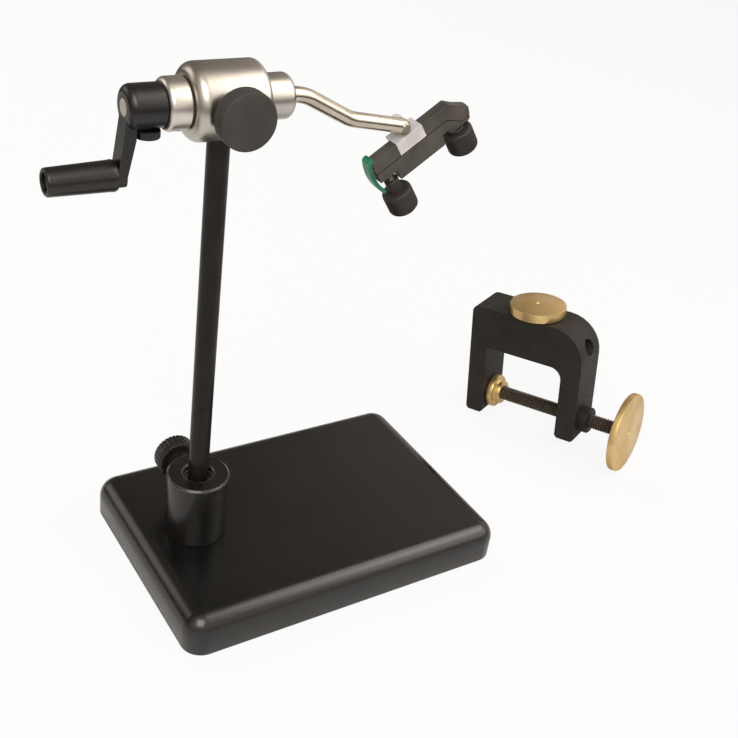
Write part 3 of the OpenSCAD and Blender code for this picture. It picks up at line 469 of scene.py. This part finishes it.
KNOB_NECK, COLLAR_SCREW_H = 5.5, 44.8
collar_knob = turned("collar_knob", [
    (5.75, 0), (5.75, KNOB_NECK), (8.9, KNOB_NECK), (9.6, KNOB_NECK + 0.3),
    (10, KNOB_NECK + 1), (10, KNOB_NECK + 7.4), (9.6, KNOB_NECK + 8.2), (8.9, KNOB_NECK + 8.5),
    (6.7, KNOB_NECK + 8.5), (6.4, KNOB_NECK + 8.7), (6.3, KNOB_NECK + 10.4),
    (5.8, KNOB_NECK + 11), (3.4, KNOB_NECK + 11), (3.2, KNOB_NECK + 10.6)], 120)
flute(collar_knob, 9.6, KNOB_NECK + 0.2, KNOB_NECK + 8.3, 30, 120, 0.7)
dress(collar_knob, spot(0, COLLAR_R + 0.3, COLLAR_SCREW_H) @ tilt(-90, "X"), ANODISED,
      "collar_knob", "black_oxide_steel", "collar_lock_knob")

# %% [markdown]
# ## Barrel
# The silver barrel holds the shaft's bearings. It is one turned piece with a big round
# behind, a smaller one in front and a narrower neck. The boss of the lock screw is added by
# a Boolean, and the stem's and the screw's holes are cut the same way. The bright ring
# behind it takes the shaft's thrust.

# %% Barrel
BARREL_R, BARREL_BACK, BARREL_FWD, NECK_R, NECK_END = 15.2, 15.2, 15.8, 9.2, 29
BUSH_R, SHAFT_ROOM_R, REAR_SEAT, FRONT_SEAT = 5.06, 3.8, -6.1, 18.4
barrel = turned("barrel_turning", [(BUSH_R, -BARREL_BACK)] + arc(
    BARREL_R - 4.6, 4.6 - BARREL_BACK, 4.6, -90, 0, 10)
    + arc(BARREL_R - 3.2, BARREL_FWD - 3.2, 3.2, 0, 90, 8)
    + [(NECK_R + 0.5, BARREL_FWD), (NECK_R, BARREL_FWD + 0.5)]
    + arc(NECK_R - 2.8, NECK_END - 2.8, 2.8, 0, 90, 8)
    + [(BUSH_R, NECK_END), (BUSH_R, FRONT_SEAT), (SHAFT_ROOM_R, FRONT_SEAT),
       (SHAFT_ROOM_R, REAR_SEAT), (BUSH_R, REAR_SEAT), (BUSH_R, -BARREL_BACK)],
    120, bored=True)
only(barrel)
barrel.matrix_world = tilt(90, "Y") @ barrel.matrix_world
bpy.ops.object.transform_apply(location=True, rotation=True, scale=True)
boss = turned("boss", [(6.5, 8), (6.5, 15.6), (6.1, 16)], 64)
boss.matrix_world = tilt(90, "X") @ boss.matrix_world
combine(barrel, boss, "UNION")
LOCK_SCREW_R, STEM_END = 3.06, 5.12
for radius, start, turn in ((LOCK_SCREW_R, 2, tilt(90, "X")), (BORE_R, STEM_END, tilt(180, "X"))):
    cutter = turned("drill", [(radius, start), (radius, 20)], 48)
    cutter.matrix_world = turn @ cutter.matrix_world
    combine(barrel, cutter, "DIFFERENCE")
smooth(barrel, 30)
dress(barrel, spot(0, 0, AXIS_H), ALUMINIUM, "head", "aluminium", "housing")

# %% Thrust ring behind the barrel
RING_R, RING_LEN, RING_BORE_R, RING_ROUND, RING_AT = 10.3, 8.8, 3.36, 2.2, -24.66
RING_SCREW_R, RING_SCREW_TURN = 2.06, 155
ring = turned("thrust_ring", [(RING_BORE_R, 0)] + arc(
    RING_R - RING_ROUND, RING_ROUND, RING_ROUND, -90, 0, 8) + [
        (RING_R, RING_LEN - 0.4), (RING_R - 0.4, RING_LEN), (RING_BORE_R, RING_LEN),
        (RING_BORE_R, 0)], 96, bored=True)
ring.matrix_world = tilt(90, "Y")
only(ring)
bpy.ops.object.transform_apply(location=True, rotation=True, scale=True)
screw_hole = turned("screw_hole", [(RING_SCREW_R, 2), (RING_SCREW_R, 12)], 48)
screw_hole.matrix_world = spot(RING_LEN / 2, 0, 0) @ tilt(RING_SCREW_TURN, "X") \
    @ screw_hole.matrix_world
combine(ring, screw_hole, "DIFFERENCE")
smooth(ring)
dress(ring, spot(RING_AT, 0, AXIS_H), BRIGHT_RING, "shaft", "stainless_steel", "thrust_collar")

# %% [markdown]
# ## Lock knob
# The large black disc in front locks the shaft. Its rim has a fine straight knurl, too
# fine to count in the photo, and its face is matt with a thin lighter bevel.

# %% Lock knob
LOCK_R, LOCK_NECK, LOCK_H = 11.7, 1.2, 7.4
LOCK_NECK_R, LOCK_AT, LOCK_SIDES = 5.25, -16.3, 180
lock = turned("lock_disc", [
    (LOCK_NECK_R, 0), (LOCK_NECK_R, LOCK_NECK), (LOCK_R - 0.5, LOCK_NECK),
    (LOCK_R, LOCK_NECK + 0.5),
    (LOCK_R, LOCK_NECK + LOCK_H - 0.9), (LOCK_R - 0.35, LOCK_NECK + LOCK_H - 0.25),
    (LOCK_R - 0.9, LOCK_NECK + LOCK_H), (LOCK_R - 1.4, LOCK_NECK + LOCK_H)], LOCK_SIDES)
flute(lock, LOCK_R, LOCK_NECK + 0.4, LOCK_NECK + LOCK_H - 0.8, LOCK_SIDES // 2, LOCK_SIDES,
      0.22)
dress(lock, spot(0, LOCK_AT, AXIS_H) @ tilt(90, "X"), KNOB_FACE, "lock_knob",
      "black_oxide_steel", "lock_knob")

# %% [markdown]
# ## Bent shaft
# The polished shaft leaves the barrel, dips, and levels out to the jaws. It is one rod
# bent twice, so it is drawn as one: a ring is extruded straight, spun round each bend's
# centre, and extruded again, and its end is rounded off.

# %% Bent shaft
SHAFT_R, BEND_R, BEND_START, BEND_DOWN, LAST_SLOPE = 3.3, 20, 31, 27.5, 11
HUB_BACK, MID_RUN, LAST_RUN = -39.46, 18.95, 25.25
PIVOT = Vector((87.248, 0, 215.781))

nothing_selected()
bpy.ops.mesh.primitive_circle_add(vertices=48, radius=SHAFT_R * MM, fill_type="NGON",
                                  rotation=(0, math.radians(-90), 0),
                                  location=(HUB_BACK * MM, 0, AXIS_H * MM))
shaft = bpy.context.object
shaft.name = "bent_shaft"
bpy.ops.object.transform_apply(location=True, rotation=True, scale=True)
bpy.ops.object.mode_set(mode="EDIT")
bpy.ops.mesh.select_all(action="SELECT")


def run_on(length, slope):
    """Extrudes the shaft's end straight on, down a slope in degrees."""
    fall = math.radians(slope)
    bpy.ops.mesh.extrude_region_move(TRANSFORM_OT_translate={
        "value": (length * MM * math.cos(fall), 0, -length * MM * math.sin(fall))})


def bend_on(slope, turn, steps=10):
    """Carries the shaft's end round a bend in short chords, turning it as it goes."""
    chord = 2 * BEND_R * math.sin(math.radians(abs(turn) / steps / 2))
    for i in range(steps):
        heading = slope + turn * (i + 0.5) / steps
        run_on(chord, heading)
        bpy.context.edit_object.update_from_editmode()
        chosen = [v.co for v in bpy.context.edit_object.data.vertices if v.select]
        centre = sum(chosen, Vector()) / len(chosen)
        # With no window transform.rotate turns the other way, so the angle's sign is swapped
        bpy.ops.transform.rotate(value=-math.radians(turn / steps), orient_axis="Y",
                                 center_override=centre)


run_on(BEND_START - HUB_BACK, 0)
bend_on(0, BEND_DOWN)
run_on(MID_RUN, BEND_DOWN)
bend_on(BEND_DOWN, LAST_SLOPE - BEND_DOWN)
run_on(LAST_RUN, LAST_SLOPE)
DOME = 5
for i in range(DOME):
    low, high = (math.radians(90 * k / DOME) for k in (i, i + 1))
    run_on(SHAFT_R * (math.sin(high) - math.sin(low)), LAST_SLOPE)
    share = max(math.cos(high), 0.02) / max(math.cos(low), 0.02)
    bpy.ops.transform.resize(value=(share, share, share))
bpy.ops.mesh.select_all(action="SELECT")
bpy.ops.mesh.normals_make_consistent(inside=False)
bpy.ops.object.mode_set(mode="OBJECT")
smooth(shaft)
tip = max((v.co for v in shaft.data.vertices), key=lambda co: co.x)
print("shaft ends at", [round(c / MM, 2) for c in tip], "pivot", list(PIVOT))
dress(shaft, Matrix(), STAINLESS, "shaft", "stainless_steel", "rotary_shaft")

# %% [markdown]
# ## Crank
# The crank's hub, arm and eye are one casting with soft edges. The handle is a turned
# sleeve that spins on its pin.

# %% Crank, thumbscrew and handle
crank = eased("crank_casting", "crank_arm", width=0.7, segments=3)
dress(crank, Matrix(), ANODISED, "shaft", "black_oxide_steel", "crank_arm")

THUMB_R, THUMB_H, THUMB_SIDES = 5.2, 3.4, 64
THUMB_AT, THUMB_TOP = -29.96, 224.7
thumb = turned("thumb_head", [(THUMB_R - 0.6, 0)] + [
    (THUMB_R, 0.4 + (THUMB_H - 0.9) * i / 4) for i in range(5)] + [
        (THUMB_R - 0.2, THUMB_H - 0.2), (THUMB_R - 0.7, THUMB_H), (1.6, THUMB_H),
        (1.4, THUMB_H - 0.2)], THUMB_SIDES)
knurl(thumb, THUMB_R, 0.4, THUMB_H - 0.5, 4, THUMB_SIDES, 0.25)
dress(thumb, spot(THUMB_AT, 0, THUMB_TOP) @ tilt(180, "X"), ANODISED, "thumb_knob",
      "black_oxide_steel", "crank_thumb_knob")

GRIP_LEN, RECESS_R, RECESS_H, PIN_R, CRANK_THROW, GRIP_AT = 27.2, 3.9, 4, 2.06, 26.4, -69.56
grip = turned("handle_sleeve", [
    (RECESS_R, RECESS_H), (RECESS_R, 0.5), (4.3, 0)] + arc(4.4, 1.1, 1.1, -90, 0, 5) + [
        (6.05, 24.4), (6.2, 26), (5.9, 26.9), (5.2, GRIP_LEN), (PIN_R, GRIP_LEN),
        (PIN_R, RECESS_H), (RECESS_R, RECESS_H)], 80, bored=True)
dress(grip, spot(GRIP_AT, 0, AXIS_H - CRANK_THROW) @ tilt(90, "Y"), ANODISED, "grip",
      "black_oxide_steel", "handle_grip")

# %% [markdown]
# ## Jaws
# Two sloping steel bars: the upper ends in a hooked beak, the lower closes on it when
# the rear knob is turned. A bare steel saddle carries them on the shaft's end, and a
# green spring strip hooks over their tail. Every edge is lightly broken.

# %% Jaws, saddle and clip
dress(eased("upper_jaw_bar", "upper_jaw", width=0.3), Matrix(), JAW_STEEL, "jaw_unit",
      "black_oxide_steel", "upper_jaw")
dress(eased("lower_jaw_bar", "lower_jaw", width=0.3), Matrix(), JAW_STEEL, "lower_jaw",
      "black_oxide_steel", "lower_jaw")
dress(eased("saddle_block", "jaw_saddle", width=0.2), Matrix(), BARE_STEEL, "jaw_unit",
      "stainless_steel", "jaw_saddle")
dress(eased("green_strip", "tail_clip", width=0.25), Matrix(), GREEN, "jaw_unit",
      "green_spring_steel", "tail_clip")

# %% [markdown]
# ## Jaw knobs and threads
# Both jaw knobs have a diamond knurl. A knurl is a grid of small pyramids, so the rim is
# a grid of quads with every other corner pressed in. The screws are real helices: a
# V outline is carried round by the Screw modifier, then cut flat at both ends.

# %% Jaw knobs
KNOB_R, KNOB_H, KNOB_SIDES, KNOB_ROWS = 7, 11.4, 96, 14
# The screws' places are measured along the jaws from the pivot
JAW_SLOPE, FRONT_SCREW_AT, REAR_SCREW_AT = 34, 22.32, -15.4


def jaw_knob(name, neck_r, neck_h):
    """A knurled knob hanging below its neck."""
    rows = [(KNOB_R, neck_h + 1.6 + (KNOB_H - 3.2) * i / KNOB_ROWS)
            for i in range(KNOB_ROWS + 1)]
    foot = neck_h + KNOB_H
    piece = turned(name, [(neck_r - 0.3, 0), (neck_r, 0.3), (neck_r, neck_h),
                          (5.6, neck_h + 0.01), (6.3, neck_h + 0.35), (6.8, neck_h + 0.9)] + rows
                   + [(6.8, foot - 0.9), (6.3, foot - 0.35), (5.6, foot), (2.6, foot),
                      (2.4, foot - 0.2)], KNOB_SIDES)
    knurl(piece, KNOB_R, rows[0][1], rows[-1][1], KNOB_ROWS, KNOB_SIDES, 0.28)
    return piece


JAWS = Matrix.Translation(PIVOT * MM) @ tilt(-JAW_SLOPE, "Y")
dress(jaw_knob("front_knob", neck_r=3.5, neck_h=1),
      JAWS @ spot(FRONT_SCREW_AT, 0, -18.536) @ tilt(180, "X"),
      JAW_KNOB, "front_knob", "black_oxide_steel", "front_jaw_knob")
dress(jaw_knob("rear_knob", neck_r=3.3, neck_h=6.5),
      JAWS @ spot(REAR_SCREW_AT, 0, -18.9) @ tilt(180, "X"),
      JAW_KNOB, "rear_knob", "black_oxide_steel", "rear_jaw_knob")


# %% Threaded rods
def threaded(name, radius, pitch, length, steps=32):
    """A threaded rod along +Z from the origin, with flat ends."""
    nothing_selected()
    bpy.ops.mesh.primitive_plane_add(size=1)
    piece = bpy.context.object
    piece.name = name
    bpy.ops.object.mode_set(mode="EDIT")
    bpy.ops.mesh.select_all(action="SELECT")
    bpy.ops.mesh.delete(type="ONLY_FACE")
    bpy.ops.mesh.select_all(action="SELECT")
    bpy.ops.object.mode_set(mode="OBJECT")
    root, crest = radius - 0.55 * pitch, radius - 0.02
    spots = [(root, 0), (crest, 0.42 * pitch), (crest, 0.58 * pitch), (root, pitch)]
    for vertex, (r, z) in zip(piece.data.vertices, (spots[0], spots[1], spots[3], spots[2])):
        vertex.co = Vector((r, 0, z - 2 * pitch)) * MM
    # The plane's fourth edge would close the V on its open side, so it is taken out
    select_edges(piece, lambda a, b: abs(a.x - root) < 1e-3 and abs(b.x - root) < 1e-3)
    bpy.ops.mesh.delete(type="EDGE")
    bpy.ops.object.mode_set(mode="OBJECT")
    screw = piece.modifiers.new("helix", "SCREW")
    screw.screw_offset = pitch * MM
    screw.iterations = math.ceil(length / pitch) + 4
    screw.steps = screw.render_steps = steps
    screw.use_merge_vertices = True
    screw.merge_threshold = 0.01 * MM
    only(piece)
    bpy.ops.object.modifier_apply(modifier=screw.name)
    for height, sign in ((0, -1), (length, 1)):
        only(piece)
        bpy.ops.object.mode_set(mode="EDIT")
        bpy.ops.mesh.select_all(action="SELECT")
        bpy.ops.mesh.bisect(plane_co=(0, 0, height * MM), plane_no=(0, 0, sign),
                            use_fill=True, clear_outer=True)
        bpy.ops.object.mode_set(mode="OBJECT")
    only(piece)
    bpy.ops.object.mode_set(mode="EDIT")
    bpy.ops.mesh.select_all(action="SELECT")
    bpy.ops.mesh.remove_doubles(threshold=0.003 * MM)
    bpy.ops.mesh.normals_make_consistent(inside=False)
    bpy.ops.object.mode_set(mode="OBJECT")
    smooth(piece, 50)
    return piece


# The rear screw's dark oxide finish is painted shade: it sits in the shadow under the jaws' tail
dress(threaded("rear_thread", radius=1.9, pitch=0.7, length=21.85),
      JAWS @ spot(REAR_SCREW_AT, 0, -32.24), SCREW_OXIDE,
      "rear_screw", "stainless_steel", "rear_jaw_screw")

# %% [markdown]
# ## Clamp
# The clamp is a cast C with a long threaded screw. The pad swivels on the screw's tip,
# and two brass discs, one on each screw, are the handles. It stands on the corner of its
# fixed arm and on the rim of the long screw's disc, and its tip follows from the two.

# %% Clamp
SCREW_H, PAD_AT, SCREW_AT, DISC_AT, DISC_R = 11, 11.3, 15.3, 96.9, 23.5
ARM_CORNER, RIM_EDGE, CLAMP_X, CLAMP_Y, CLAMP_TURN = 1.5, 0.6, 222, 62, -66
STEM_DISC_ALONG, STEM_DISC_UP = 36, 70.8
CLAMP_TIP = math.atan((DISC_R - SCREW_H) / (DISC_AT + RIM_EDGE - ARM_CORNER))
CLAMP = spot(CLAMP_X, CLAMP_Y, -ARM_CORNER * math.sin(CLAMP_TIP)) @ tilt(CLAMP_TURN, "Z") \
    @ tilt(-math.degrees(CLAMP_TIP), "Y")
ALONG = tilt(90, "Y")
dress(eased("clamp_casting", "clamp_frame", width=1.0, segments=3), Matrix(), CAST_COAT,
      "base", "black_coated_metal", "clamp_frame")
pad = turned("clamp_pad_cup", [
    (9.3, 0), (9.8, 0.2), (10, 0.7), (10, 3.3), (9.8, 3.8), (9.3, 4), (7.6, 4), (7, 4.6),
    (7, 6.9), (6.8, 7.3), (6.4, 7.5), (4.31, 7.5), (4.31, 3.92)], 80)
dress(pad, CLAMP @ spot(PAD_AT, 0, SCREW_H) @ ALONG, BRASS, "pad", "brass", "clamp_pad")
dress(threaded("clamp_thread", radius=4.25, pitch=1.5, length=84),
      CLAMP @ spot(SCREW_AT, 0, SCREW_H) @ ALONG,
      SCREW_OXIDE, "clamp_spindle", "black_oxide_steel", "clamp_screw")


def brass_disc(name, radius, height, socket_r, socket_h, mark_r, mark_h, sides):
    """A disc with a fluted rim, a socket for its screw behind and a centre mark in front."""
    piece = turned(name, [
        (socket_r, socket_h), (socket_r, 0), (radius - 0.7, 0), (radius - 0.2, 0.2),
        (radius, RIM_EDGE), (radius, height - RIM_EDGE), (radius - 0.2, height - 0.2),
        (radius - 0.7, height), (mark_r, height), (mark_r - 0.2, height - mark_h)], sides)
    flute(piece, radius, RIM_EDGE - 0.1, height - RIM_EDGE + 0.1, sides // 2, sides, 0.25)
    return piece


dress(brass_disc("clamp_handle", DISC_R, height=4, socket_r=4.31, socket_h=2.4, mark_r=1.3,
                 mark_h=0.8, sides=200),
      CLAMP @ spot(DISC_AT, 0, SCREW_H) @ ALONG, BRASS, "clamp_spindle", "brass",
      "clamp_handle_disc")
dress(brass_disc("stem_disc", 16.5, height=5.5, socket_r=3.06, socket_h=3.38, mark_r=1.4,
                 mark_h=0.4, sides=160),
      CLAMP @ spot(STEM_DISC_ALONG, 0, STEM_DISC_UP), BRASS, "stem_disc", "brass",
      "clamp_stem_disc")

# %% [markdown]
# ## Table and light
# The photo is a cut-out on white. The floor is a plain pale sheet that keeps the soft
# shadows, and it is lifted to white for the camera through Light Path. Three large soft
# lamps stand for the studio's boxes, and two more are seen only in shiny edges. What a
# reflection sees is bright in front and to the right, dark behind and dim near the horizon,
# where the sheet ends. That gives the barrel its darker top, and the base its dark top and
# the dark line under its lit round.

# %% Floor, world and lamps
BACK_WALL, SOFT_BOX = 0.22, 1.0  # how bright the studio's two sides look in a reflection
nothing_selected()
bpy.ops.mesh.primitive_plane_add(size=8, location=(0, 0, -0.0002))
floor = bpy.context.object
floor.name = "table_sheet"
paper = bpy.data.materials.new("white_paper")
paper.use_nodes = True
tree = paper.node_tree
tree.nodes.clear()
path = add_node(tree, "ShaderNodeLightPath")
reach = add_node(tree, "ShaderNodeVectorMath", {},
                 {0: add_node(tree, "ShaderNodeTexCoord").outputs["Object"]}, operation="LENGTH")
beyond = add_node(tree, "ShaderNodeMapRange", {"From Min": 0.55, "From Max": 1.2},
                  {"Value": reach.outputs["Value"]}, interpolation_type="SMOOTHSTEP")
gone = add_node(tree, "ShaderNodeMath", {}, {0: path.outputs["Is Glossy Ray"],
                                             1: beyond.outputs[0]}, operation="MULTIPLY")
# In a reflection the sheet ends a little way off, as the real one does
tone = add_node(tree, "ShaderNodeMix", {6: hex_colour("#f4efea"), 7: hex_colour("#3a3430")},
                {"Factor": gone.outputs[0]}, data_type="RGBA")
dull = add_node(tree, "ShaderNodeBsdfDiffuse", {}, {"Color": tone.outputs[2]})
glow = add_node(tree, "ShaderNodeEmission", {"Color": hex_colour("#ffffff"), "Strength": 1.0})
seen = add_node(tree, "ShaderNodeMath", {1: 0.88}, {0: path.outputs["Is Camera Ray"]},
                operation="MULTIPLY")
sheet = add_node(tree, "ShaderNodeMixShader", {}, {0: seen.outputs[0], 1: dull.outputs[0],
                                                   2: glow.outputs[0]})
add_node(tree, "ShaderNodeOutputMaterial", {}, {"Surface": sheet.outputs[0]})
floor.data.materials.append(paper)

world = bpy.data.worlds.new("studio")
world.use_nodes = True
tree = world.node_tree
tree.nodes.clear()
path = add_node(tree, "ShaderNodeLightPath")
aim = add_node(tree, "ShaderNodeTexCoord").outputs["Generated"]
parts = add_node(tree, "ShaderNodeSeparateXYZ", {}, {0: aim})
front = add_node(tree, "ShaderNodeMapRange", {"From Min": 0.45, "From Max": -0.25},
                 {"Value": parts.outputs[1]}, interpolation_type="SMOOTHSTEP")
right = add_node(tree, "ShaderNodeMapRange", {"From Min": 0.34, "From Max": 0.88},
                 {"Value": parts.outputs[0]}, interpolation_type="SMOOTHSTEP")
boxes = add_node(tree, "ShaderNodeMath", {}, {0: front.outputs[0], 1: right.outputs[0]},
                 operation="MAXIMUM")
above = add_node(tree, "ShaderNodeMapRange", {"From Min": 0.02, "From Max": 0.26, "To Min": 0.4},
                 {"Value": parts.outputs[2]}, interpolation_type="SMOOTHSTEP")
over = add_node(tree, "ShaderNodeMath", {}, {0: boxes.outputs[0], 1: above.outputs[0]},
                operation="MULTIPLY")
level = add_node(tree, "ShaderNodeMapRange", {"To Min": BACK_WALL, "To Max": SOFT_BOX},
                 {"Value": over.outputs[0]})
wash = add_node(tree, "ShaderNodeBackground", {"Color": hex_colour("#f6f6f6"), "Strength": 0.4})
mirror = add_node(tree, "ShaderNodeBackground", {"Color": hex_colour("#fff3e6")},
                  {"Strength": level.outputs[0]})
white = add_node(tree, "ShaderNodeBackground", {"Color": hex_colour("#ffffff"), "Strength": 1})
shiny = add_node(tree, "ShaderNodeMath", {}, {0: path.outputs["Is Glossy Ray"],
                                              1: path.outputs["Is Transmission Ray"]},
                 operation="MAXIMUM")
lit = add_node(tree, "ShaderNodeMixShader", {}, {0: shiny.outputs[0], 1: wash.outputs[0],
                                                 2: mirror.outputs[0]})
shown = add_node(tree, "ShaderNodeMixShader", {}, {0: path.outputs["Is Camera Ray"],
                                                   1: lit.outputs[0], 2: white.outputs[0]})
add_node(tree, "ShaderNodeOutputWorld", {}, {"Surface": shown.outputs[0]})
bpy.context.scene.world = world

WARM_BOX = (1, 0.92, 0.83)  # the base's edges reflect a slightly warm light
# Name, place, size, watts, and whether it is seen in reflections and lights dull surfaces
LAMPS = (("key_box", (-0.55, -0.75, 1.15), 0.9, 13, True, True),
         ("fill_box", (0.95, -0.7, 0.9), 1.0, 5, True, True),
         ("back_box", (0.1, 1.1, 1.0), 0.9, 5, False, True),
         ("front_edge_box", (0.66, -0.26, 1.0), 0.7, 4, True, False),
         ("left_edge_box", (-0.62, 0.8, 0.5), 0.5, 1.2, True, False))
for name, where, size, watts, mirrored, lights in LAMPS:
    lamp = bpy.data.objects.new(name, bpy.data.lights.new(name, "AREA"))
    lamp.data.size = size
    lamp.data.energy = watts
    lamp.visible_glossy = mirrored
    lamp.visible_diffuse = lights
    if not lights:
        lamp.data.color = WARM_BOX
    lamp.location = where
    lamp.rotation_euler = (Vector((0.05, 0, 0.1)) - Vector(where)).to_track_quat("-Z", "Y") \
        .to_euler()
    bpy.context.scene.collection.objects.link(lamp)
print("lamps:", len(LAMPS))
